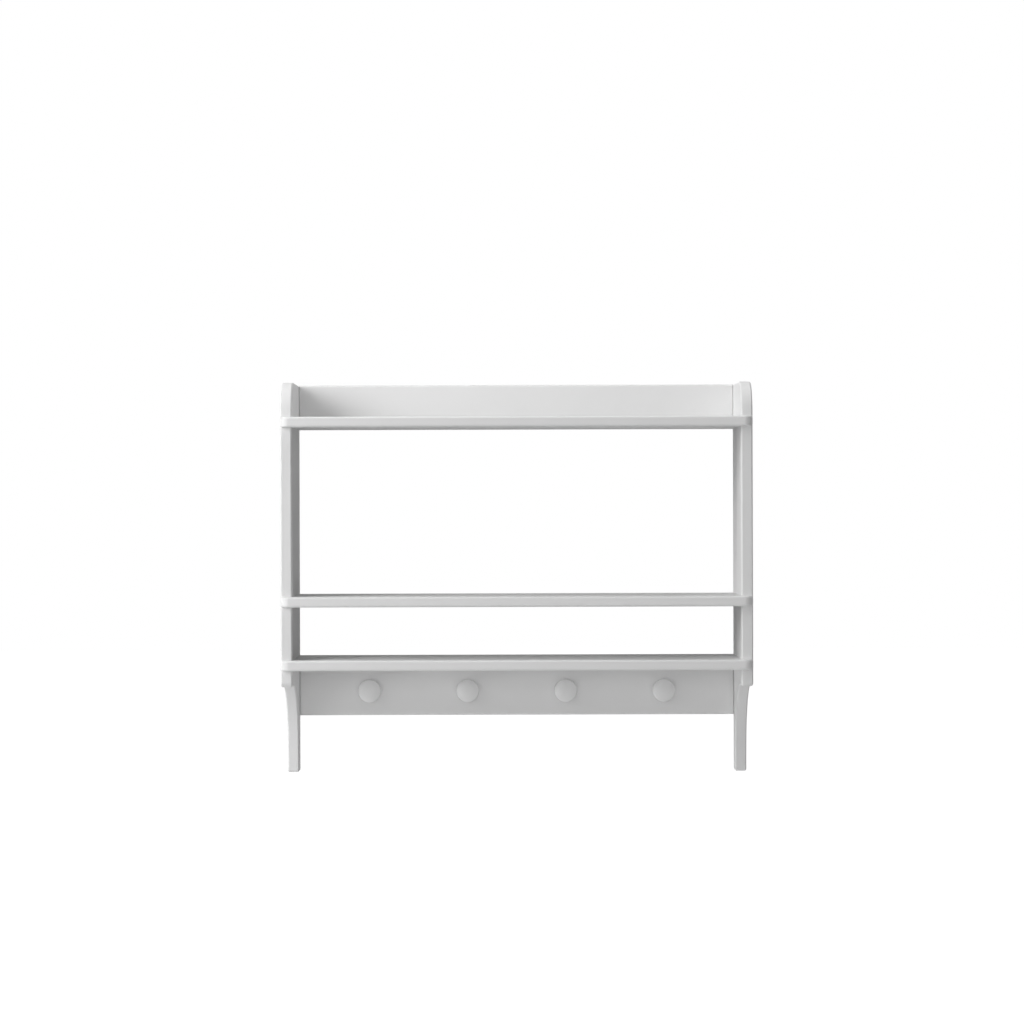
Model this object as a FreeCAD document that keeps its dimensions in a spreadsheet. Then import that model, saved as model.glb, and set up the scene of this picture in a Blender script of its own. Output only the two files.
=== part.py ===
import FreeCAD, Part

import math
import os

import Sketcher

# Wall shelf with a peg rail: two shaped side panels carry three shelves, a low back board above
# the top shelf and a rail with four turned pegs under the bottom shelf. Nothing on it moves.
# Frame: X to the right, Y towards the wall, Z up. The origin lies on the wall plane, midway
# between the entry holes of the two keyhole plates that hang the shelf.

# Driving sizes in millimetres

SIZES = {
    "overall_width": 730,
    "side_depth": 172,
    "nose_projection": 14,
    "side_thickness": 18,
    "shelf_thickness": 16,
    "board_thickness": 12,
    "arris_chamfer": 2,
    "leg_drop": 89,
    "rail_height": 80,
    "lower_bay_height": 82,
    "upper_bay_height": 262,
    "gallery_height": 55,
    "top_corner_radius": 50,
    "lobe_drop": 26,
    "lobe_corner_radius": 8,
    "lobe_flat": 27.5,
    "leg_depth": 30,
    "foot_corner_radius": 4,
    "foot_straight": 10,
    "housing_depth": 5,
    "housing_clearance": 0.1,
    "end_gap": 0.3,
    "tongue_thickness": 5,
    "tongue_stop": 10,
    "peg_margin": 113,
    "peg_projection": 32,
    "peg_head_diameter": 36,
    "peg_rim_radius": 5,
    "peg_crown": 3.5,
    "peg_seat_diameter": 20,
    "peg_throat_diameter": 24,
    "peg_neck_length": 14,
    "peg_neck_curve": 20,
    "peg_flare": 3,
    "peg_tenon_diameter": 10,
    "peg_tenon_shortfall": 0.5,
    "hanger_drop": 114,
    "plate_length": 48,
    "plate_margin": 2,
    "plate_thickness": 2,
    "keyhole_entry": 8.5,
    "keyhole_slot": 4.5,
    "keyhole_travel": 12,
    "head_pocket_depth": 10,
    "head_room": 0.75,
    "plate_screw_inset": 6,
    "plate_screw_diameter": 3,
    "plate_screw_head": 5.8,
    "bore_clearance": 0.1,
    "recess_clearance": 0.2,
}

# Four pegs in a row

PEG_COUNT = 4

# Sine of the gentle turn that the leg's front edge takes before the cove

SWEEP_SINE_SHARE = 0.175

# Two places nearer than this are the same place

TOUCH = 1e-6


class Length:
    """A size that is known as a number and as the sheet expression that it follows."""

    def __init__(self, number, text):
        self.number = number
        self.text = text

    def __add__(self, other):
        other = as_length(other)
        return Length(self.number + other.number, f"({self.text} + {other.text})")

    def __sub__(self, other):
        other = as_length(other)
        return Length(self.number - other.number, f"({self.text} - {other.text})")

    def __mul__(self, other):
        other = as_length(other)
        return Length(self.number * other.number, f"({self.text} * {other.text})")

    def __truediv__(self, other):
        other = as_length(other)
        return Length(self.number / other.number, f"({self.text} / {other.text})")

    def __neg__(self):
        return Length(-self.number, f"(0 - {self.text})")


def as_length(value):
    return value if isinstance(value, Length) else Length(value, str(value))


def root(size):
    return Length(math.sqrt(size.number), f"sqrt({size.text})")


ZERO = as_length(0)
ONE = as_length(1)


# Document and sheet

doc = FreeCAD.newDocument("peg_rail_shelf")
sheet = doc.addObject("Spreadsheet::Sheet", "Sizes")
size = {}
for row, (alias, number) in enumerate(SIZES.items(), start=1):
    sheet.set(f"A{row}", alias.replace("_", " "))
    sheet.set(f"B{row}", str(number))
    sheet.setAlias(f"B{row}", alias)
    size[alias] = Length(number, f"Sizes.{alias}")
doc.recompute()


# Places worked out from the driving sizes

half_width = size["overall_width"] / 2
half_inner = half_width - size["side_thickness"]
bottom_shelf_level = size["leg_drop"] + size["rail_height"]
middle_shelf_level = bottom_shelf_level + size["shelf_thickness"] + size["lower_bay_height"]
top_shelf_level = middle_shelf_level + size["shelf_thickness"] + size["upper_bay_height"]
gallery_level = top_shelf_level + size["shelf_thickness"]
side_height = gallery_level + size["gallery_height"]
lobe_level = bottom_shelf_level - size["lobe_drop"]
hanger_level = side_height - size["hanger_drop"]
foot = -hanger_level
panel_centre = half_width - size["side_thickness"] / 2
first_peg = size["peg_margin"] - half_inner
peg_pitch = -first_peg * 2 / (PEG_COUNT - 1)
peg_level = size["leg_drop"] + size["rail_height"] / 2
plate_width = size["side_thickness"] - size["plate_margin"] * 2
plate_half_straight = (size["plate_length"] - plate_width) / 2
plate_middle = size["keyhole_travel"] / 2
plate_screw_reach = size["plate_length"] / 2 - size["plate_screw_inset"]
housed_end = half_inner + size["housing_depth"] - size["end_gap"]


# Sketch and feature helpers

def sign(side):
    """Direction of a side: left is the negative one, right the positive one."""
    return -1 if side == "left" else 1


def pin_point(sketch, edge, end, across, up):
    """Hold one point of a sketch at its distances from the upright and the level axis."""
    for kind, axis, distance in (("DistanceX", -2, across), ("DistanceY", -1, up)):
        if distance.number == 0:
            sketch.addConstraint(Sketcher.Constraint("PointOnObject", edge, end, axis))
        else:
            tie(sketch, Sketcher.Constraint(kind, -1, 1, edge, end, distance.number), distance)


def tie(sketch, constraint, distance):
    index = sketch.addConstraint(constraint)
    sketch.setExpression(f"Constraints[{index}]", distance.text)


def arc_between(start, end, radius, turn):
    """The shorter arc of a radius from one point to another, turning left or right."""
    chord = end - start
    aside = FreeCAD.Vector(chord.y, -chord.x, 0).normalize() * sign(turn)
    rise = math.sqrt(max(radius ** 2 - (chord.Length / 2) ** 2, 0))
    centre = (start + end) / 2 + aside * rise
    first, last = (start, end) if turn == "left" else (end, start)
    angles = [math.atan2(point.y - centre.y, point.x - centre.x) for point in (first, last)]
    circle = Part.Circle(centre, FreeCAD.Vector(0, 0, 1), radius)
    return Part.ArcOfCircle(circle, angles[0], angles[1])


def draw_outline(sketch, corners):
    """Draw a closed outline. A corner is its place and, where an arc leaves it, radius and turn."""
    points = [FreeCAD.Vector(across.number, up.number, 0) for across, up, *bend in corners]
    starts, ends = [], []
    for index, (across, up, *bend) in enumerate(corners):
        start, end = points[index], points[(index + 1) % len(points)]
        if bend:
            radius, turn = bend
            edge = sketch.addGeometry(arc_between(start, end, radius.number, turn), False)
            tie(sketch, Sketcher.Constraint("Radius", edge, radius.number), radius)
            starts.append((edge, 1 if turn == "left" else 2))
            ends.append((edge, 2 if turn == "left" else 1))
        else:
            edge = sketch.addGeometry(Part.LineSegment(start, end), False)
            starts.append((edge, 1))
            ends.append((edge, 2))
    for index, (across, up, *bend) in enumerate(corners):
        sketch.addConstraint(Sketcher.Constraint("Coincident", *ends[index - 1], *starts[index]))
        pin_point(sketch, *starts[index], across, up)


def draw_rectangle(sketch, across, up):
    """Draw an upright rectangle between two places across and two places up."""
    (near_edge, far_edge), (low, high) = across, up
    draw_outline(sketch, [(near_edge, low), (far_edge, low), (far_edge, high), (near_edge, high)])


def draw_circles(sketch, places, diameter):
    for across, up in places:
        centre = FreeCAD.Vector(across.number, up.number, 0)
        circle = Part.Circle(centre, FreeCAD.Vector(0, 0, 1), diameter.number / 2)
        edge = sketch.addGeometry(circle, False)
        tie(sketch, Sketcher.Constraint("Diameter", edge, diameter.number), diameter)
        pin_point(sketch, edge, 3, across, up)


def draw_slot(sketch, across, low, high, width):
    """Draw an upright slot whose round ends are centred on two heights."""
    x, radius = across.number, width.number / 2
    normal = FreeCAD.Vector(0, 0, 1)
    top = Part.Circle(FreeCAD.Vector(x, high.number, 0), normal, radius)
    base = Part.Circle(FreeCAD.Vector(x, low.number, 0), normal, radius)
    upper = sketch.addGeometry(Part.ArcOfCircle(top, 0, math.pi), False)
    lower = sketch.addGeometry(Part.ArcOfCircle(base, math.pi, 2 * math.pi), False)
    flanks = []
    for flank, start, end in ((x - radius, high, low), (x + radius, low, high)):
        line = Part.LineSegment(
            FreeCAD.Vector(flank, start.number, 0), FreeCAD.Vector(flank, end.number, 0)
        )
        flanks.append(sketch.addGeometry(line, False))
    left, right = flanks
    for joint in ((upper, 2, left, 1), (left, 2, lower, 1), (lower, 2, right, 1), (right, 2, upper, 1)):
        sketch.addConstraint(Sketcher.Constraint("Tangent", *joint))
    sketch.addConstraint(Sketcher.Constraint("Equal", upper, lower))
    tie(sketch, Sketcher.Constraint("Radius", upper, radius), width / 2)
    pin_point(sketch, upper, 3, across, high)
    pin_point(sketch, lower, 3, across, low)


def new_body(name, x=ZERO, y=ZERO, z=ZERO):
    body = doc.addObject("PartDesign::Body", name)
    body.Label = name
    for axis, distance in (("x", x), ("y", y), ("z", z)):
        body.setExpression(f"Placement.Base.{axis}", distance.text)
    return body


def origin_feature(body, role):
    return next(item for item in body.Origin.OriginFeatures if item.Role == role)


def new_sketch(body, plane, offset=None):
    sketch = body.newObject("Sketcher::SketchObject", f"{body.Name}_sketch")
    sketch.AttachmentSupport = (origin_feature(body, plane), [""])
    sketch.MapMode = "FlatFace"
    if offset is not None:
        sketch.setExpression("AttachmentOffset.Base.z", offset.text)
    return sketch


def add_pad(body, sketch, length, backwards=False):
    doc.recompute()
    pad = body.newObject("PartDesign::Pad", f"{body.Name}_pad")
    pad.Profile = sketch
    pad.setExpression("Length", length.text)
    pad.Reversed = backwards
    doc.recompute()
    return pad


def add_pocket(body, sketch, depth, backwards=False):
    doc.recompute()
    before = body.Shape.Volume
    pocket = body.newObject("PartDesign::Pocket", f"{body.Name}_pocket")
    pocket.Profile = sketch
    pocket.setExpression("Length", depth.text)
    pocket.Reversed = backwards
    doc.recompute()
    if not body.Shape.Volume < before:
        raise RuntimeError(f"{pocket.Name} cuts nothing")
    return pocket


def add_revolution(body, sketch):
    doc.recompute()
    turned = body.newObject("PartDesign::Revolution", f"{body.Name}_turned")
    turned.Profile = sketch
    turned.ReferenceAxis = (sketch, ["V_Axis"])
    turned.Angle = 360
    doc.recompute()
    return turned


def dress_edges(body, kind, length, wanted):
    """Round or chamfer the edges whose middle point is wanted."""
    names = []
    for index, edge in enumerate(body.Shape.Edges, start=1):
        middle = edge.valueAt((edge.FirstParameter + edge.LastParameter) / 2)
        middle = body.Placement.inverse().multVec(middle)
        if wanted(middle):
            names.append(f"Edge{index}")
    base = body.Tip
    dressed = body.newObject(f"PartDesign::{kind}", f"{body.Name}_{kind.lower()}")
    dressed.Base = (base, names)
    dressed.setExpression("Radius" if kind == "Fillet" else "Size", length.text)
    doc.recompute()
    return dressed


def mirror_sideways(body, feature):
    """Repeat a feature at the other end of the shelf or board."""
    mirror = body.newObject("PartDesign::Mirrored", f"{body.Name}_mirror")
    mirror.MirrorPlane = (origin_feature(body, "YZ_Plane"), [""])
    mirror.Originals = [feature]
    body.Tip = mirror
    doc.recompute()


def repeat_along(body, feature, axis, spacing, count):
    """Repeat a feature in a row of equal steps."""
    pattern = body.newObject("PartDesign::LinearPattern", f"{body.Name}_row")
    pattern.Originals = [feature]
    pattern.Direction = (origin_feature(body, axis), [""])
    pattern.setExpression("Length", (spacing * (count - 1)).text)
    pattern.Occurrences = count
    body.Tip = pattern
    doc.recompute()


def near(first, second):
    return math.isclose(first, second, abs_tol=TOUCH)


# Joints between the boards and the side panels, seen along X: the distance from the wall plane
# in front of it is negative, and heights are from the foot or from the board's own lower face

def tongue_span(slack):
    """Places across and up of the tongue in the middle of a back board's thickness."""
    middle = -size["board_thickness"] / 2
    reach = size["tongue_thickness"] / 2 + slack
    return middle - reach, middle + reach


def tongue_rise(level, height, slack):
    return level + size["tongue_stop"] - slack, level + height - size["tongue_stop"] + slack


def side_panel(side):
    """Side panel: round top corner in front, lobe under the bottom shelf, cove and narrow leg.

    The front edge of the leg rises in a wide sweep that turns into the tighter cove. Both arcs
    follow from the height and depth between the foot and the lobe, and from the sweep's turn.
    """
    body = new_body(f"{side}_side_panel", x=half_inner * sign(side), z=foot)
    cove_end_depth = size["side_depth"] - size["lobe_corner_radius"] - size["lobe_flat"]
    rise = lobe_level - size["foot_straight"]
    run = cove_end_depth - size["leg_depth"]
    sine = as_length(SWEEP_SINE_SHARE)
    cosine = root(ONE - sine * sine)
    sweep_radius = (rise * cosine - run * (ONE - sine)) / (sine + cosine - ONE)
    cove_radius = (run * sine - rise * (ONE - cosine)) / (sine + cosine - ONE)
    sweep_end_depth = size["leg_depth"] + sweep_radius * (ONE - cosine)
    sweep_end_height = size["foot_straight"] + sweep_radius * sine
    outline = new_sketch(body, "YZ_Plane")
    draw_outline(outline, [
        (ZERO, ZERO),
        (size["foot_corner_radius"] - size["leg_depth"], ZERO, size["foot_corner_radius"], "right"),
        (-size["leg_depth"], size["foot_corner_radius"]),
        (-size["leg_depth"], size["foot_straight"], sweep_radius, "left"),
        (-sweep_end_depth, sweep_end_height, cove_radius, "left"),
        (-cove_end_depth, lobe_level),
        (size["lobe_corner_radius"] - size["side_depth"], lobe_level,
         size["lobe_corner_radius"], "right"),
        (-size["side_depth"], lobe_level + size["lobe_corner_radius"]),
        (-size["side_depth"], side_height - size["top_corner_radius"],
         size["top_corner_radius"], "right"),
        (size["top_corner_radius"] - size["side_depth"], side_height),
        (ZERO, side_height),
    ])
    add_pad(body, outline, size["side_thickness"], backwards=side == "left")
    thickness = SIZES["side_thickness"]
    dress_edges(body, "Chamfer", size["arris_chamfer"], lambda middle: (
        not near(middle.y, 0) and (near(middle.x, 0) or near(abs(middle.x), thickness))
    ))

    slack = size["housing_clearance"] / 2
    housings = new_sketch(body, "YZ_Plane")
    for level in (bottom_shelf_level, middle_shelf_level, top_shelf_level):
        band = level - slack, level + size["shelf_thickness"] + slack
        draw_rectangle(housings, (-size["side_depth"], ZERO), band)
    for level, height in ((gallery_level, size["gallery_height"]),
                          (size["leg_drop"], size["rail_height"])):
        draw_rectangle(housings, tongue_span(slack), tongue_rise(level, height, slack))
    add_pocket(body, housings, size["housing_depth"], backwards=side == "right")

    centre = size["side_thickness"] / 2 * sign(side)
    middle = hanger_level + plate_middle
    recess = new_sketch(body, "XZ_Plane")
    draw_slot(recess, centre, middle - plate_half_straight, middle + plate_half_straight,
              plate_width + size["recess_clearance"])
    add_pocket(body, recess, size["plate_thickness"], backwards=True)
    head_pocket = new_sketch(body, "XZ_Plane")
    draw_slot(head_pocket, centre, hanger_level, hanger_level + size["keyhole_travel"],
              size["keyhole_entry"] + size["head_room"] * 2)
    add_pocket(body, head_pocket, size["plate_thickness"] + size["head_pocket_depth"], backwards=True)
    return body


def shelf(name, level):
    """Shelf housed in the side panels, with a nose that runs past their front edges."""
    body = new_body(name, z=foot + level)
    nose_front = -(size["side_depth"] + size["nose_projection"])
    nose_end = half_width - size["nose_projection"]
    outline = new_sketch(body, "XY_Plane")
    draw_outline(outline, [
        (-housed_end, ZERO),
        (housed_end, ZERO),
        (housed_end, -size["side_depth"]),
        (half_width, -size["side_depth"], size["nose_projection"], "right"),
        (nose_end, nose_front),
        (-nose_end, nose_front, size["nose_projection"], "right"),
        (-half_width, -size["side_depth"]),
        (-housed_end, -size["side_depth"]),
    ])
    add_pad(body, outline, size["shelf_thickness"])
    depth, thickness = SIZES["side_depth"], SIZES["shelf_thickness"]
    dress_edges(body, "Chamfer", size["arris_chamfer"], lambda middle: (
        middle.y < -depth and not near(middle.y, -depth)
        and (near(middle.z, 0) or near(middle.z, thickness))
    ))
    return body


def back_board(name, level, height):
    """Board flat on the wall that butts on the side panels, with a stopped tongue at each end."""
    body = new_body(name, z=foot + level)
    outline = new_sketch(body, "XZ_Plane")
    draw_rectangle(outline, (-half_inner, half_inner), (ZERO, height))
    add_pad(body, outline, size["board_thickness"])
    thickness = SIZES["board_thickness"]
    dress_edges(body, "Chamfer", size["arris_chamfer"], lambda middle: near(middle.y, -thickness))
    section = new_sketch(body, "YZ_Plane", offset=half_inner)
    draw_rectangle(section, tongue_span(ZERO), tongue_rise(ZERO, height, ZERO))
    tongue = add_pad(body, section, size["housing_depth"] - size["end_gap"])
    mirror_sideways(body, tongue)
    return body


def peg_place(index):
    return first_peg + peg_pitch * index


def peg_rail(name):
    """Back board that carries the pegs, bored right through for their tenons."""
    body = back_board(name, size["leg_drop"], size["rail_height"])
    bores = new_sketch(body, "XZ_Plane")
    places = [(peg_place(index), size["rail_height"] / 2) for index in range(PEG_COUNT)]
    draw_circles(bores, places, size["peg_tenon_diameter"] + size["bore_clearance"])
    add_pocket(body, bores, size["board_thickness"], backwards=True)
    return body


def pegs(name):
    """Turned pegs: tenon, waisted neck, flared back, and a rim that rounds over into a low crown."""
    body = new_body(name, x=first_peg, y=-size["board_thickness"], z=foot + peg_level)
    head = size["peg_head_diameter"] / 2
    crown, rim = size["peg_crown"], size["peg_rim_radius"]
    rim_back = size["peg_neck_length"] + size["peg_flare"]
    rim_front = size["peg_projection"] - crown - rim
    face = head - rim
    crown_radius = (face * face + crown * rim * 2 + crown * crown) / (crown * 2)
    meeting = crown_radius / (crown_radius - rim)
    outline = new_sketch(body, "XY_Plane")
    draw_outline(outline, [
        (ZERO, size["board_thickness"] - size["peg_tenon_shortfall"]),
        (size["peg_tenon_diameter"] / 2, size["board_thickness"] - size["peg_tenon_shortfall"]),
        (size["peg_tenon_diameter"] / 2, ZERO),
        (size["peg_seat_diameter"] / 2, ZERO, size["peg_neck_curve"], "left"),
        (size["peg_throat_diameter"] / 2, -size["peg_neck_length"]),
        (head, -rim_back),
        (head, -rim_front, rim, "right"),
        (face * meeting, crown_radius - size["peg_projection"] - (crown_radius - rim - crown) * meeting,
         crown_radius, "right"),
        (ZERO, -size["peg_projection"]),
    ])
    turned = add_revolution(body, outline)
    repeat_along(body, turned, "X_Axis", peg_pitch, PEG_COUNT)
    return body


def keyhole_plate(side):
    """Steel plate let in flush: a screw head enters the round hole and slides up the slot."""
    body = new_body(f"{side}_keyhole_plate", x=panel_centre * sign(side))
    outline = new_sketch(body, "XZ_Plane")
    draw_slot(outline, ZERO, plate_middle - plate_half_straight, plate_middle + plate_half_straight,
              plate_width)
    add_pad(body, outline, size["plate_thickness"])
    entry = new_sketch(body, "XZ_Plane")
    draw_circles(entry, [(ZERO, ZERO)], size["keyhole_entry"])
    slot = new_sketch(body, "XZ_Plane")
    draw_slot(slot, ZERO, ZERO, size["keyhole_travel"], size["keyhole_slot"])
    low, high = plate_middle - plate_screw_reach, plate_middle + plate_screw_reach
    holes = new_sketch(body, "XZ_Plane")
    draw_circles(holes, [(ZERO, low), (ZERO, high)],
                 size["plate_screw_diameter"] + size["bore_clearance"])
    for sketch in (entry, slot, holes):
        add_pocket(body, sketch, size["plate_thickness"], backwards=True)
    reach = SIZES["plate_screw_diameter"]
    sink = (size["plate_screw_head"] - size["plate_screw_diameter"]) / 2
    dress_edges(body, "Chamfer", sink, lambda point: (
        near(point.y, 0)
        and min(math.hypot(point.x, point.z - hole.number) for hole in (low, high)) < reach
    ))
    return body


# The sub-parts

parts = [
    side_panel("left"),
    side_panel("right"),
    shelf("top_shelf", top_shelf_level),
    shelf("middle_shelf", middle_shelf_level),
    shelf("bottom_shelf", bottom_shelf_level),
    back_board("upper_back_board", gallery_level, size["gallery_height"]),
    peg_rail("peg_rail"),
    pegs("pegs"),
    keyhole_plate("left"),
    keyhole_plate("right"),
]
doc.recompute()


# Check and write

for item in doc.Objects:
    if "Invalid" in item.State or "Error" in item.State:
        raise RuntimeError(f"{item.Name} failed: {item.State}")

os.makedirs("parts", exist_ok=True)
for part in parts:
    if part.Shape.isNull() or not part.Shape.isValid():
        raise RuntimeError(f"{part.Label} has no valid shape")
    part.Shape.exportStep(f"parts/{part.Label}.step")
    print(part.Label, len(part.Shape.Solids), "solids", round(part.Shape.Volume / 1000, 1), "cm3")
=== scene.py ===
import math

import bmesh
import bpy
from mathutils import Matrix, Vector


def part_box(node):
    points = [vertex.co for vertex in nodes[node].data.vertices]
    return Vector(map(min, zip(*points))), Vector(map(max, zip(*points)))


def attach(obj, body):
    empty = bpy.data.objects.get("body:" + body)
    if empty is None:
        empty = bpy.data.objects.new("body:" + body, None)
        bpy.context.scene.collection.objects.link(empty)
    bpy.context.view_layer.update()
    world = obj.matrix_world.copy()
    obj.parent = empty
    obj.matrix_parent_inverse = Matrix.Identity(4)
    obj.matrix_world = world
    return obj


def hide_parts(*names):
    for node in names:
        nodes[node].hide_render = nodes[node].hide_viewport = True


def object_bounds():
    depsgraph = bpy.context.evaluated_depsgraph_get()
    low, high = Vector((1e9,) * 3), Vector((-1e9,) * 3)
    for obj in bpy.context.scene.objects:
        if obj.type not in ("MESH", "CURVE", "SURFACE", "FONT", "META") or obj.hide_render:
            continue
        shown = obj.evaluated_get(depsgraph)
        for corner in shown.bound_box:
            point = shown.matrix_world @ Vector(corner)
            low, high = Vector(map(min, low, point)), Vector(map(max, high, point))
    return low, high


# Looks of a white painted wall shelf: MDF boards with rounded arrises, four turned and painted
# pegs, and zinc-plated keyhole plates with their screws in the rear edges of the side panels.
# Metres, X to the right, Y towards the wall, Z up, as in the solids.

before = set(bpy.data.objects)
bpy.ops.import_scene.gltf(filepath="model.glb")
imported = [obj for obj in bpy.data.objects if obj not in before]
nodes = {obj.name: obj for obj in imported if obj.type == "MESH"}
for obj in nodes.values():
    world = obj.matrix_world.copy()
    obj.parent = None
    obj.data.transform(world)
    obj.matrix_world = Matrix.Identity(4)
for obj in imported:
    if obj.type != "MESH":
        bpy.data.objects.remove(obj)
solid_low, solid_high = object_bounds()
scene = bpy.context.scene

MM = 0.001

# Camera: the photograph was taken from far off, almost straight on. Its angles are in degrees,
# its sensor in millimetres, and it sees as far as its reach.

PICTURE_PIXELS = 1024
FOCAL_PIXELS = 2997
SENSOR_WIDTH = 36
CAMERA_PLACE = (-0.007, -4.8, -0.083)
CAMERA_PITCH = -0.07
CAMERA_ROLL = 0.168
CAMERA_REACH = 200

# Meshes: points closer than WELD are one, and faces closer in angle than FLAT are one. Faces are
# told apart by where their middles lie, give or take a HAIR.

WELD = 0.001 * MM
FLAT = math.radians(0.3)
HAIR = 0.2 * MM

# Boards: their arrises are 45 degree chamfers in the solids, which are rounded over here. The
# side panels have a pocket behind each keyhole plate.

ARRIS_ANGLE = math.radians(45)
ARRIS_ANGLE_SLACK = math.radians(3)
ARRIS_RUN = 1.36 * MM
ARRIS_STEPS = 5
BOARD_SHARP_ANGLE = math.radians(32)
POCKET_DEPTH = 12.5 * MM

# Turned pegs, in real sizes that the solids share. The turning's sharp rings are softened.

PEG_COUNT = 4
PEG_PROJECTION = 32 * MM
PEG_HEAD_RADIUS = 18 * MM
PEG_RIM_RADIUS = 5 * MM
PEG_CROWN = 3.5 * MM
PEG_FLARE = 3 * MM
PEG_NECK_LENGTH = 14 * MM
PEG_NECK_CURVE = 20 * MM
PEG_THROAT_RADIUS = 12 * MM
PEG_SEAT_RADIUS = 10 * MM
PEG_TENON_RADIUS = 5 * MM
CROWN_STEPS = 10
RIM_STEPS = 12
NECK_STEPS = 14
PEG_STEPS = 96
PEG_SHARP_ANGLE = math.radians(40)
RING_ANGLE = math.radians(25)
RING_SOFTENING = 0.8 * MM
RING_STEPS = 4

# Screws of the keyhole plates, with depths from the wall. Each was driven home to an angle of
# its own, in radians.

SCREW_INSET = 6 * MM
SCREW_DEPTH = 2 * MM
SHANK_RADIUS = 1.45 * MM
HEAD_RADIUS = 2.6 * MM
HEAD_TOP_DEPTH = 0.05 * MM
HEAD_EDGE_DEPTH = 0.2 * MM
HEAD_DEPTH = 1.5 * MM
RECESS_REACH = 1.5 * MM
RECESS_HALF_WIDTH = 0.55 * MM
RECESS_DEPTH = 0.9 * MM
RECESS_TAPER = 0.55
SCREW_STEPS = 40
SCREW_SHARP_ANGLE = math.radians(30)
FACING_WALL = 0.99
SCREW_TURNS = {"left": {"lower": 0.3, "upper": 1.1}, "right": {"lower": 0.8, "upper": 0.1}}

# Floor: the shelf hangs high on the wall, so the floor is far below. It fades to plain white
# between two distances from the point under the shelf.

FLOOR_DROP = 1.7
FLOOR_SIZE = 80
FLOOR_SHADE = "#E0E0E0"
FADE_START = 1.5
FADE_END = 6
NEAR_GLOW = 0.4

# Studio lamps: azimuth from straight in front and elevation in degrees, distance in metres, and
# light, where 1 shows a facing surface in its own colour. Negative azimuth is on the left. A
# lamp's spread is its width as a share of its distance.

AIM = (0, -0.09, -0.2)
LAMPS = {
    "key_softbox_left": (-57, 25, 3, 0.42),
    "side_softbox_left": (-75, 30, 3, 0.29),
    "front_softbox_left": (-40, 10, 3, 0.135),
    "low_softbox_left": (-85, -40, 2, 0.245),
    "high_softbox_right": (85, 75, 3, 0.41),
    "low_softbox_right": (85, -40, 2, 0.09),
    "front_fill": (0, 0, 6, 0.205),
}
LAMP_SPREAD = 0.5
AMBIENT = 0.07

# Level light from straight behind, which lights the rear and only grazes every other face. Its
# width is in degrees.

BACK_FILL = 0.5
BACK_FILL_WIDTH = 3


# Colours and nodes

def linear(hex_colour):
    """An sRGB hex colour as linear red, green, blue and a full alpha."""
    channels = [int(hex_colour[i:i + 2], 16) / 255 for i in (1, 3, 5)]
    curved = [c / 12.92 if c <= 0.04045 else ((c + 0.055) / 1.055) ** 2.4 for c in channels]
    return (*curved, 1)


def add(tree, kind, inputs=None, **settings):
    """Add a node with its settings. An input takes a value or the socket that feeds it."""
    node = tree.nodes.new(kind)
    for name, value in settings.items():
        setattr(node, name, value)
    for name, value in (inputs or {}).items():
        if isinstance(value, bpy.types.NodeSocket):
            tree.links.new(value, node.inputs[name])
        else:
            node.inputs[name].default_value = value
    return node


def new_material(name):
    """A material with an empty node tree, and that tree."""
    material = bpy.data.materials.new(name)
    material.use_nodes = True
    material.node_tree.nodes.clear()
    return material, material.node_tree


def per_mm(spacing):
    """Texture scale at which a pattern repeats about once in so many millimetres."""
    return 1 / (spacing * MM)


# Materials. A noise texture's values lie mostly between NOISE_LOW and NOISE_HIGH, and sheens are
# spread over that band.

NOISE_LOW = 0.3
NOISE_HIGH = 0.7


def satin_paint(name, peel_spacing, streaks=None):
    """Satin white paint sprayed on MDF and sanded between coats.

    The eye sees an even, neutral white with a soft sheen. Up close there is a fine orange peel,
    and the sheen is a little uneven where the board drank more paint. Long boards also have the
    faint streaks of the sanding, drawn out in the direction in which their scale is small.
    """
    material, tree = new_material(name)
    place = add(tree, "ShaderNodeTexCoord").outputs["Object"]
    clouds = add(tree, "ShaderNodeTexNoise",
                 {"Vector": place, "Scale": per_mm(90), "Detail": 3, "Roughness": 0.55})
    tint = add(tree, "ShaderNodeMix", {"Factor": clouds.outputs["Fac"], 6: linear("#E0E0E0"),
                                       7: linear("#E5E5E5")}, data_type="RGBA")
    sheen = add(tree, "ShaderNodeMapRange",
                {"Value": clouds.outputs["Fac"], "From Min": NOISE_LOW, "From Max": NOISE_HIGH,
                 "To Min": 0.64, "To Max": 0.72})
    peel = add(tree, "ShaderNodeTexNoise",
               {"Vector": place, "Scale": per_mm(peel_spacing), "Detail": 2, "Roughness": 0.5})
    relief = add(tree, "ShaderNodeBump",
                 {"Height": peel.outputs["Fac"], "Strength": 1, "Distance": 0.012 * MM})
    if streaks is not None:
        stretched = add(tree, "ShaderNodeMapping", {"Vector": place, "Scale": streaks})
        lines = add(tree, "ShaderNodeTexNoise",
                    {"Vector": stretched.outputs[0], "Scale": per_mm(1.4), "Detail": 2,
                     "Roughness": 0.6})
        relief = add(tree, "ShaderNodeBump",
                     {"Height": lines.outputs["Fac"], "Strength": 1, "Distance": 0.02 * MM,
                      "Normal": relief.outputs["Normal"]})
    shader = add(tree, "ShaderNodeBsdfPrincipled",
                 {"Base Color": tint.outputs[2], "Roughness": sheen.outputs[0], "IOR": 1.5,
                  "Metallic": 0, "Normal": relief.outputs["Normal"]})
    add(tree, "ShaderNodeOutputMaterial", {"Surface": shader.outputs[0]})
    return material


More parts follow.
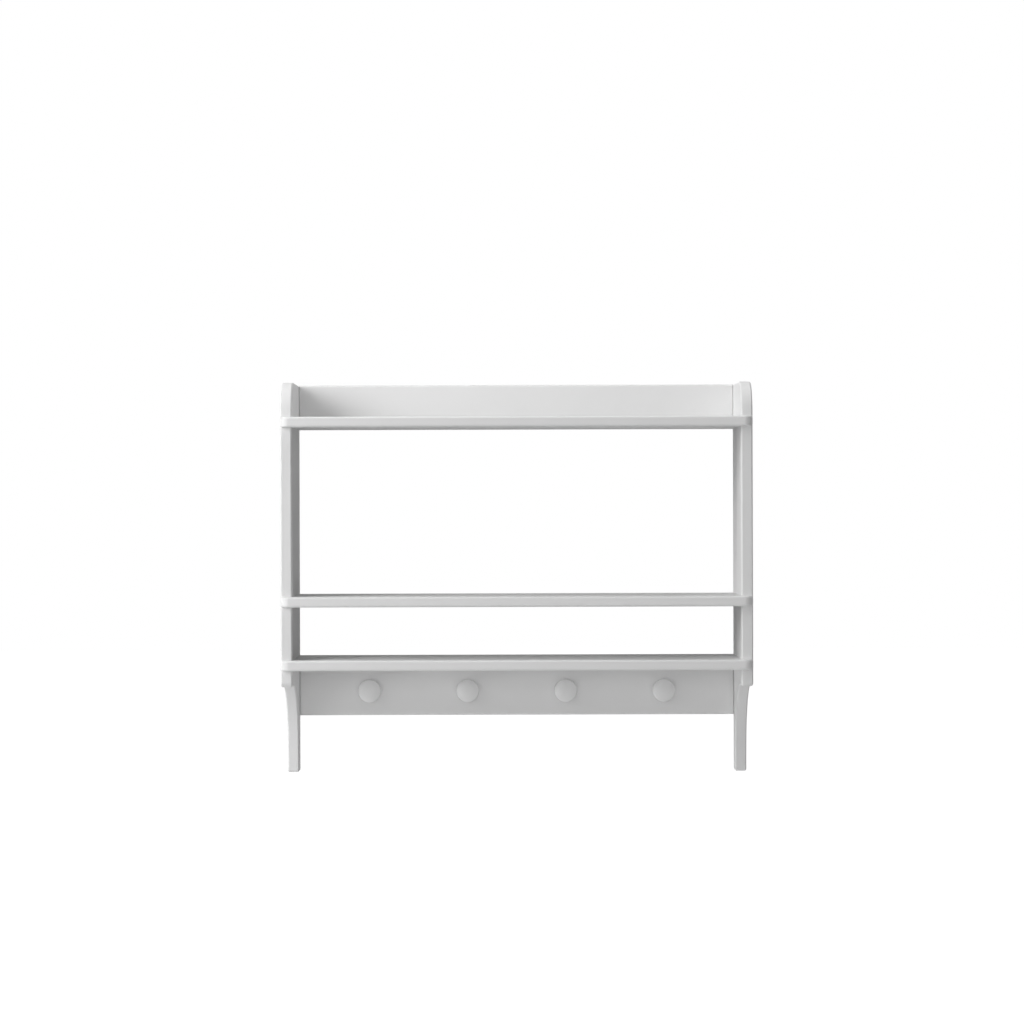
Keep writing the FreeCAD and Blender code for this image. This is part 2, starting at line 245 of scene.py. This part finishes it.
def turned_paint(name, first_centre, pitch, height):
    """Satin white paint on turned beech.

    The same white as the boards, but the tool left faint rings round each peg's axis, which the
    paint softens without hiding them.
    """
    material, tree = new_material(name)
    place = add(tree, "ShaderNodeTexCoord").outputs["Object"]
    parts = add(tree, "ShaderNodeSeparateXYZ", {"Vector": place})
    along = add(tree, "ShaderNodeMath", {0: parts.outputs["X"], 1: pitch / 2 - first_centre},
                operation="ADD")
    wrapped = add(tree, "ShaderNodeMath", {0: along.outputs[0], 1: pitch},
                  operation="FLOORED_MODULO")
    across = add(tree, "ShaderNodeMath", {0: wrapped.outputs[0], 1: pitch / 2},
                 operation="SUBTRACT")
    up = add(tree, "ShaderNodeMath", {0: parts.outputs["Z"], 1: height}, operation="SUBTRACT")
    spoke = add(tree, "ShaderNodeCombineXYZ", {"X": across.outputs[0], "Z": up.outputs[0]})
    radius = add(tree, "ShaderNodeVectorMath", {0: spoke.outputs[0]}, operation="LENGTH")
    track = add(tree, "ShaderNodeCombineXYZ",
                {"X": radius.outputs["Value"], "Y": parts.outputs["Y"]})
    rings = add(tree, "ShaderNodeTexNoise",
                {"Vector": track.outputs[0], "Scale": per_mm(1.6), "Detail": 3, "Roughness": 0.6})
    peel = add(tree, "ShaderNodeTexNoise", {"Vector": place, "Scale": per_mm(1.2), "Detail": 2})
    ring_relief = add(tree, "ShaderNodeBump",
                      {"Height": rings.outputs["Fac"], "Strength": 1, "Distance": 0.05 * MM})
    relief = add(tree, "ShaderNodeBump",
                 {"Height": peel.outputs["Fac"], "Strength": 1, "Distance": 0.015 * MM,
                  "Normal": ring_relief.outputs["Normal"]})
    sheen = add(tree, "ShaderNodeMapRange",
                {"Value": rings.outputs["Fac"], "From Min": NOISE_LOW, "From Max": NOISE_HIGH,
                 "To Min": 0.62, "To Max": 0.7})
    shader = add(tree, "ShaderNodeBsdfPrincipled",
                 {"Base Color": linear("#E3E3E3"), "Roughness": sheen.outputs[0], "IOR": 1.5,
                  "Metallic": 0, "Normal": relief.outputs["Normal"]})
    add(tree, "ShaderNodeOutputMaterial", {"Surface": shader.outputs[0]})
    return material


def raw_mdf(name):
    """Bare MDF where the router cut the hanger pockets: dull brown felted fibre, darker flecks."""
    material, tree = new_material(name)
    place = add(tree, "ShaderNodeTexCoord").outputs["Object"]
    fibre = add(tree, "ShaderNodeTexNoise",
                {"Vector": place, "Scale": per_mm(0.8), "Detail": 5, "Roughness": 0.7})
    tint = add(tree, "ShaderNodeMix", {"Factor": fibre.outputs["Fac"], 6: linear("#7A5F42"),
                                       7: linear("#B0926C")}, data_type="RGBA")
    relief = add(tree, "ShaderNodeBump",
                 {"Height": fibre.outputs["Fac"], "Strength": 1, "Distance": 0.1 * MM})
    shader = add(tree, "ShaderNodeBsdfPrincipled",
                 {"Base Color": tint.outputs[2], "Roughness": 0.9, "IOR": 1.5, "Metallic": 0,
                  "Normal": relief.outputs["Normal"]})
    add(tree, "ShaderNodeOutputMaterial", {"Surface": shader.outputs[0]})
    return material


def beech_end_grain(name):
    """Sawn beech end grain: pale pinkish brown, with the small dark pores of the cut fibres.

    Real pores are about 0.1 mm wide, and are drawn coarser here so that they can be seen.
    """
    material, tree = new_material(name)
    place = add(tree, "ShaderNodeTexCoord").outputs["Object"]
    pores = add(tree, "ShaderNodeTexVoronoi", {"Vector": place, "Scale": per_mm(0.5)})
    growth = add(tree, "ShaderNodeTexWave",
                 {"Vector": place, "Scale": per_mm(14), "Distortion": 2.5, "Detail": 2},
                 bands_direction="DIAGONAL")
    tint = add(tree, "ShaderNodeMix", {"Factor": growth.outputs["Fac"], 6: linear("#B98F66"),
                                       7: linear("#D2AB80")}, data_type="RGBA")
    speck = add(tree, "ShaderNodeMapRange",
                {"Value": pores.outputs["Distance"], "From Min": 0.1, "From Max": 0.35,
                 "To Min": 0.72, "To Max": 1})
    cut = add(tree, "ShaderNodeMix", {"Factor": 1, 6: tint.outputs[2], 7: speck.outputs[0]},
              data_type="RGBA", blend_type="MULTIPLY")
    shader = add(tree, "ShaderNodeBsdfPrincipled",
                 {"Base Color": cut.outputs[2], "Roughness": 0.75, "IOR": 1.5, "Metallic": 0})
    add(tree, "ShaderNodeOutputMaterial", {"Surface": shader.outputs[0]})
    return material


def zinc_plate(name, brush):
    """Zinc-plated steel: cool pale grey metal with a milky sheen and fine marks of the rolling.

    The marks are drawn out in the direction in which the scale of the brush is small. They are
    finer in real sheet, and are drawn 0.6 mm apart so that they can be seen.
    """
    material, tree = new_material(name)
    place = add(tree, "ShaderNodeTexCoord").outputs["Object"]
    spangle = add(tree, "ShaderNodeTexNoise",
                  {"Vector": place, "Scale": per_mm(4), "Detail": 3, "Roughness": 0.6})
    tint = add(tree, "ShaderNodeMix", {"Factor": spangle.outputs["Fac"], 6: linear("#A4AAB1"),
                                       7: linear("#C3C4BF")}, data_type="RGBA")
    stretched = add(tree, "ShaderNodeMapping", {"Vector": place, "Scale": brush})
    marks = add(tree, "ShaderNodeTexNoise",
                {"Vector": stretched.outputs[0], "Scale": per_mm(0.6), "Detail": 3})
    relief = add(tree, "ShaderNodeBump",
                 {"Height": marks.outputs["Fac"], "Strength": 1, "Distance": 0.01 * MM})
    sheen = add(tree, "ShaderNodeMapRange",
                {"Value": spangle.outputs["Fac"], "From Min": NOISE_LOW, "From Max": NOISE_HIGH,
                 "To Min": 0.28, "To Max": 0.42})
    shader = add(tree, "ShaderNodeBsdfPrincipled",
                 {"Base Color": tint.outputs[2], "Metallic": 1, "Roughness": sheen.outputs[0],
                  "Normal": relief.outputs["Normal"]})
    add(tree, "ShaderNodeOutputMaterial", {"Surface": shader.outputs[0]})
    return material


def seen_directly(tree):
    """1 for the camera and for what shines in gloss or glass, 0 for light on matt paint."""
    rays = add(tree, "ShaderNodeLightPath")
    seen = add(tree, "ShaderNodeMath",
               {0: rays.outputs["Is Camera Ray"], 1: rays.outputs["Is Glossy Ray"]},
               operation="MAXIMUM")
    through = add(tree, "ShaderNodeMath",
                  {0: seen.outputs[0], 1: rays.outputs["Is Transmission Ray"]},
                  operation="MAXIMUM")
    return through.outputs[0]


def pale_floor(name, shade):
    """Pale matt floor that fades to the white backdrop away from the shelf.

    Near the shelf the lamps and its shadow show on it. Far off it glows a plain white.
    """
    material, tree = new_material(name)
    place = add(tree, "ShaderNodeTexCoord").outputs["Object"]
    away = add(tree, "ShaderNodeVectorMath", {0: place}, operation="LENGTH")
    glow = add(tree, "ShaderNodeMapRange",
               {"Value": away.outputs["Value"], "From Min": FADE_START, "From Max": FADE_END,
                "To Min": NEAR_GLOW, "To Max": 1})
    strength = add(tree, "ShaderNodeMath", {0: glow.outputs[0], 1: seen_directly(tree)},
                   operation="MULTIPLY")
    matt = add(tree, "ShaderNodeBsdfDiffuse", {"Color": linear(shade)})
    white = add(tree, "ShaderNodeEmission",
                {"Color": (1, 1, 1, 1), "Strength": strength.outputs[0]})
    both = add(tree, "ShaderNodeAddShader", {0: matt.outputs[0], 1: white.outputs[0]})
    add(tree, "ShaderNodeOutputMaterial", {"Surface": both.outputs[0]})
    return material


# Mesh helpers

def add_piece(name, mesh, materials, replaced=()):
    """Make a finished piece of a bmesh, riding on the shelf and standing for its solids."""
    data = bpy.data.meshes.new(name)
    mesh.to_mesh(data)
    mesh.free()
    piece = bpy.data.objects.new(name, data)
    scene.collection.objects.link(piece)
    for material in materials:
        data.materials.append(material)
    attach(piece, "root")
    if replaced:
        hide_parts(*replaced)
    return piece


def shade_smoothly(mesh, sharp_angle):
    """Smooth shading, with every edge that turns by more than an angle kept sharp."""
    for face in mesh.faces:
        face.smooth = True
    for edge in mesh.edges:
        edge.smooth = len(edge.link_faces) == 2 and edge.calc_face_angle(0) < sharp_angle


def turn_on_axis(mesh, steps):
    """Turn a profile in the plane of X and Y into a closed solid round the Y axis."""
    bmesh.ops.spin(mesh, geom=mesh.verts[:] + mesh.edges[:], cent=(0, 0, 0), axis=(0, 1, 0),
                   dvec=(0, 0, 0), angle=2 * math.pi, steps=steps, use_merge=True)
    bmesh.ops.remove_doubles(mesh, verts=mesh.verts, dist=WELD)
    bmesh.ops.recalc_face_normals(mesh, faces=mesh.faces)


# Boards

def is_arris(edge):
    """True for the two edges of a chamfer."""
    return (len(edge.link_faces) == 2
            and abs(edge.calc_face_angle(0) - ARRIS_ANGLE) < ARRIS_ANGLE_SLACK)


def even_normals(piece):
    """Keep flat faces flat beside their rounded arrises."""
    weighted = piece.modifiers.new("even_normals", "WEIGHTED_NORMAL")
    weighted.keep_sharp = True
    weighted.weight = 100


def painted_board(name, node, paint, bare=None):
    """A merged copy of a board's solid with its chamfered arrises rounded over.

    Where a board is left bare in places, bare gives the test for those places and the material.
    """
    mesh = bmesh.new()
    mesh.from_mesh(nodes[node].data)
    bmesh.ops.remove_doubles(mesh, verts=mesh.verts, dist=WELD)
    bmesh.ops.dissolve_limit(mesh, angle_limit=FLAT, verts=mesh.verts, edges=mesh.edges)
    arrises = [edge for edge in mesh.edges if is_arris(edge)]
    bmesh.ops.bevel(mesh, geom=arrises, offset=ARRIS_RUN, offset_type="OFFSET", affect="EDGES",
                    segments=ARRIS_STEPS, profile=0.5, material=-1, clamp_overlap=True)
    shade_smoothly(mesh, BOARD_SHARP_ANGLE)
    materials = [paint]
    if bare is not None:
        is_bare, material = bare
        materials.append(material)
        for face in mesh.faces:
            if is_bare(face.calc_center_median()):
                face.material_index = 1
    piece = add_piece(name, mesh, materials, [node])
    even_normals(piece)


plate_low, plate_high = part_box("left_keyhole_plate")


def in_hanger_pocket(point):
    """True in the plate's recess and the pocket behind it, in either side panel."""
    return (-POCKET_DEPTH < point.y < -HAIR
            and -plate_high.x - HAIR < abs(point.x) < -plate_low.x + HAIR
            and plate_low.z - HAIR < point.z < plate_high.z + HAIR)


fibre_board = raw_mdf("raw_mdf_router_cut")
panel_paint = satin_paint("satin_white_paint_on_panel_mdf", peel_spacing=1.5)
shelf_paint = satin_paint("satin_white_paint_on_shelf_mdf", peel_spacing=1.5,
                          streaks=(0.05, 1, 1))
board_paint = satin_paint("satin_white_paint_on_back_boards", peel_spacing=1.8,
                          streaks=(0.05, 1, 1))

for side in ("left", "right"):
    painted_board(f"{side}_panel", f"{side}_side_panel", panel_paint,
                  (in_hanger_pocket, fibre_board))
for level in ("top", "middle", "bottom"):
    painted_board(f"{level}_board", f"{level}_shelf", shelf_paint)
painted_board("gallery_board", "upper_back_board", board_paint)
painted_board("rail_board", "peg_rail", board_paint)


# Pegs

pegs_low, pegs_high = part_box("pegs")
rail_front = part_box("peg_rail")[0].y
peg_height = (pegs_low.z + pegs_high.z) / 2
first_peg = pegs_low.x + PEG_HEAD_RADIUS
peg_pitch = (pegs_high.x - PEG_HEAD_RADIUS - first_peg) / (PEG_COUNT - 1)


def sweep_point(mesh, point, centre, angle, steps):
    """Carry a profile's last point round a centre in its plane, and return the new last one."""
    swept = bmesh.ops.spin(mesh, geom=[point], cent=(*centre, 0), axis=(0, 0, 1),
                           dvec=(0, 0, 0), angle=angle, steps=steps)
    return next(item for item in swept["geom_last"] if isinstance(item, bmesh.types.BMVert))


def run_to(mesh, point, radius, depth):
    """Draw a straight run of a profile to a radius and depth, and return the new last point."""
    corner = mesh.verts.new((radius, depth, 0))
    mesh.edges.new((point, corner))
    return corner


def peg_profile(mesh, tenon_length):
    """Half the peg's outline, from the middle of its crown back to the end of its tenon.

    The crown is tangent to the rim's arc, and the neck is an arc through the throat and the seat.
    """
    rim_across = PEG_HEAD_RADIUS - PEG_RIM_RADIUS
    rim_depth = -PEG_PROJECTION + PEG_RIM_RADIUS + PEG_CROWN
    crown_radius = ((rim_across ** 2 + (PEG_RIM_RADIUS + PEG_CROWN) ** 2 - PEG_RIM_RADIUS ** 2)
                    / (2 * PEG_CROWN))
    crown_centre = (0, crown_radius - PEG_PROJECTION)
    crown_turn = math.asin(rim_across / (crown_radius - PEG_RIM_RADIUS))
    rim_turn = math.pi / 2 - crown_turn

    chord = Vector((PEG_SEAT_RADIUS - PEG_THROAT_RADIUS, PEG_NECK_LENGTH))
    middle = Vector((PEG_THROAT_RADIUS + PEG_SEAT_RADIUS, -PEG_NECK_LENGTH)) / 2
    rise = math.sqrt(PEG_NECK_CURVE ** 2 - (chord.length / 2) ** 2)
    neck_centre = middle + Vector((chord.y, -chord.x)).normalized() * rise
    neck_turn = 2 * math.asin(chord.length / 2 / PEG_NECK_CURVE)

    point = mesh.verts.new((0, -PEG_PROJECTION, 0))
    point = sweep_point(mesh, point, crown_centre, crown_turn, CROWN_STEPS)
    point = sweep_point(mesh, point, (rim_across, rim_depth), rim_turn, RIM_STEPS)
    point = run_to(mesh, point, PEG_HEAD_RADIUS, -PEG_NECK_LENGTH - PEG_FLARE)
    point = run_to(mesh, point, PEG_THROAT_RADIUS, -PEG_NECK_LENGTH)
    point = sweep_point(mesh, point, neck_centre, -neck_turn, NECK_STEPS)
    point = run_to(mesh, point, PEG_TENON_RADIUS, 0)
    point = run_to(mesh, point, PEG_TENON_RADIUS, tenon_length)
    run_to(mesh, point, 0, tenon_length)


def is_turned_corner(edge):
    """True for the sharp rings of the turning, where the flare meets the rim and the throat."""
    return (len(edge.link_faces) == 2 and edge.calc_face_angle(0) > RING_ANGLE
            and all(vert.co.y < -PEG_NECK_LENGTH / 2 for vert in edge.verts))


def turned_peg(name, centre, paint, end_grain):
    """One peg turned on its axis: crown, rounded rim, hollow neck, and the tenon in the rail."""
    mesh = bmesh.new()
    peg_profile(mesh, pegs_high.y - rail_front)
    turn_on_axis(mesh, PEG_STEPS)
    corners = [edge for edge in mesh.edges if is_turned_corner(edge)]
    bmesh.ops.bevel(mesh, geom=corners, offset=RING_SOFTENING, offset_type="OFFSET",
                    affect="EDGES", segments=RING_STEPS, profile=0.5, material=-1,
                    clamp_overlap=True)
    bmesh.ops.translate(mesh, verts=mesh.verts, vec=(centre, rail_front, peg_height))
    for face in mesh.faces:
        if face.calc_center_median().y > rail_front + HAIR:
            face.material_index = 1
    shade_smoothly(mesh, PEG_SHARP_ANGLE)
    add_piece(name, mesh, [paint, end_grain], ["pegs"])


peg_paint = turned_paint("satin_white_paint_on_turned_beech", first_peg, peg_pitch, peg_height)
tenon_beech = beech_end_grain("beech_tenon_end_grain")
for index in range(PEG_COUNT):
    turned_peg(f"turned_peg_{index + 1}", first_peg + index * peg_pitch, peg_paint, tenon_beech)


# Keyhole plates and their screws

def faces_wall(face):
    """True for the flat top of a screw."""
    return face.normal.y > FACING_WALL


def cross_face(face):
    """True for the parts of a screw's top that lie in its cross recess."""
    middle = face.calc_center_median()
    across, up = abs(middle.x), abs(middle.z)
    return (faces_wall(face) and max(across, up) < RECESS_REACH
            and min(across, up) < RECESS_HALF_WIDTH)


def countersunk_screw(name, centre, height, turn, steel):
    """Countersunk head with a cross recess, seen from the wall side.

    The thread is inside the board and isn't drawn.
    """
    mesh = bmesh.new()
    corners = [(0, HEAD_TOP_DEPTH), (HEAD_RADIUS, HEAD_TOP_DEPTH), (HEAD_RADIUS, HEAD_EDGE_DEPTH),
               (SHANK_RADIUS, HEAD_DEPTH), (SHANK_RADIUS, SCREW_DEPTH), (0, SCREW_DEPTH)]
    profile = [mesh.verts.new((across, -depth, 0)) for across, depth in corners]
    for start, end in zip(profile, profile[1:]):
        mesh.edges.new((start, end))
    turn_on_axis(mesh, SCREW_STEPS)
    bmesh.ops.dissolve_limit(mesh, angle_limit=FLAT, verts=mesh.verts, edges=mesh.edges)
    for axis in (Vector((1, 0, 0)), Vector((0, 0, 1))):
        for reach in (-RECESS_REACH, -RECESS_HALF_WIDTH, RECESS_HALF_WIDTH, RECESS_REACH):
            top = [face for face in mesh.faces if faces_wall(face)]
            around = top + [e for f in top for e in f.edges] + [v for f in top for v in f.verts]
            bmesh.ops.bisect_plane(mesh, geom=list(dict.fromkeys(around)), dist=WELD,
                                   plane_co=axis * reach, plane_no=axis)
    cross = [face for face in mesh.faces if cross_face(face)]
    sunk = bmesh.ops.extrude_face_region(mesh, geom=cross)
    bmesh.ops.delete(mesh, geom=cross, context="FACES_KEEP_BOUNDARY")
    bottom = [item for item in sunk["geom"] if isinstance(item, bmesh.types.BMVert)]
    bmesh.ops.translate(mesh, verts=bottom, vec=(0, -RECESS_DEPTH, 0))
    bmesh.ops.scale(mesh, verts=bottom, vec=(RECESS_TAPER, 1, RECESS_TAPER))
    bmesh.ops.rotate(mesh, verts=mesh.verts, cent=(0, 0, 0),
                     matrix=Matrix.Rotation(turn, 3, "Y"))
    bmesh.ops.translate(mesh, verts=mesh.verts, vec=(centre, 0, height))
    shade_smoothly(mesh, SCREW_SHARP_ANGLE)
    add_piece(name, mesh, [steel])


plate_steel = zinc_plate("zinc_plated_pressed_steel", brush=(1, 1, 0.06))
screw_steel = zinc_plate("zinc_plated_screw_steel", brush=(1, 1, 1))
for side, turns in SCREW_TURNS.items():
    plate = nodes[f"{side}_keyhole_plate"]
    plate.data.materials.clear()
    plate.data.materials.append(plate_steel)
    low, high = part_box(f"{side}_keyhole_plate")
    middle = (low.x + high.x) / 2
    heights = {"lower": low.z + SCREW_INSET, "upper": high.z - SCREW_INSET}
    for place, height in heights.items():
        countersunk_screw(f"{side}_{place}_plate_screw", middle, height, turns[place],
                          screw_steel)


# Floor and surroundings

bpy.ops.mesh.primitive_plane_add(size=FLOOR_SIZE, location=(0, 0, solid_low.z - FLOOR_DROP))
floor = bpy.context.object
floor.name = "studio_floor"
floor.data.materials.append(pale_floor("pale_studio_floor", FLOOR_SHADE))

world = bpy.data.worlds.new("studio_world")
scene.world = world
world.use_nodes = True
sky = world.node_tree
sky.nodes.clear()
ambient = add(sky, "ShaderNodeBackground", {"Color": (1, 1, 1, 1), "Strength": AMBIENT})
white = add(sky, "ShaderNodeBackground", {"Color": (1, 1, 1, 1), "Strength": 1})
mixed = add(sky, "ShaderNodeMixShader", {0: seen_directly(sky), 1: ambient.outputs[0],
                                         2: white.outputs[0]})
add(sky, "ShaderNodeOutputWorld", {"Surface": mixed.outputs[0]})


# Lamps: a square lamp of (pi x distance) squared watts shows a facing surface in its own colour,
# and so does a sun of pi

aim = Vector(AIM)
for name, (azimuth, elevation, distance, light) in LAMPS.items():
    data = bpy.data.lights.new(name, "AREA")
    data.shape = "SQUARE"
    data.size = distance * LAMP_SPREAD
    data.energy = light * (math.pi * distance) ** 2
    lamp = bpy.data.objects.new(name, data)
    turned = Matrix.Rotation(math.radians(azimuth), 3, "Z")
    raised = Matrix.Rotation(math.radians(-elevation), 3, "X")
    lamp.location = aim + turned @ raised @ Vector((0, -distance, 0))
    lamp.rotation_euler = (aim - lamp.location).to_track_quat("-Z", "Y").to_euler()
    lamp.visible_camera = False
    scene.collection.objects.link(lamp)

data = bpy.data.lights.new("back_fill", "SUN")
data.energy = BACK_FILL * math.pi
data.angle = math.radians(BACK_FILL_WIDTH)
lamp = bpy.data.objects.new("back_fill", data)
lamp.rotation_euler = Vector((0, -1, 0)).to_track_quat("-Z", "Y").to_euler()
lamp.visible_glossy = False
scene.collection.objects.link(lamp)


# Camera

camera_data = bpy.data.cameras.new("camera")
camera_data.sensor_width = SENSOR_WIDTH
camera_data.lens = FOCAL_PIXELS / PICTURE_PIXELS * SENSOR_WIDTH
camera_data.clip_end = CAMERA_REACH
camera = bpy.data.objects.new("camera", camera_data)
camera.location = CAMERA_PLACE
level = Matrix.Rotation(math.radians(90), 3, "X")
pitch = Matrix.Rotation(math.radians(CAMERA_PITCH), 3, "X")
roll = Matrix.Rotation(math.radians(CAMERA_ROLL), 3, "Y")
camera.rotation_euler = (pitch @ roll @ level).to_euler()
scene.collection.objects.link(camera)
scene.camera = camera

scene.view_settings.view_transform = "Standard"
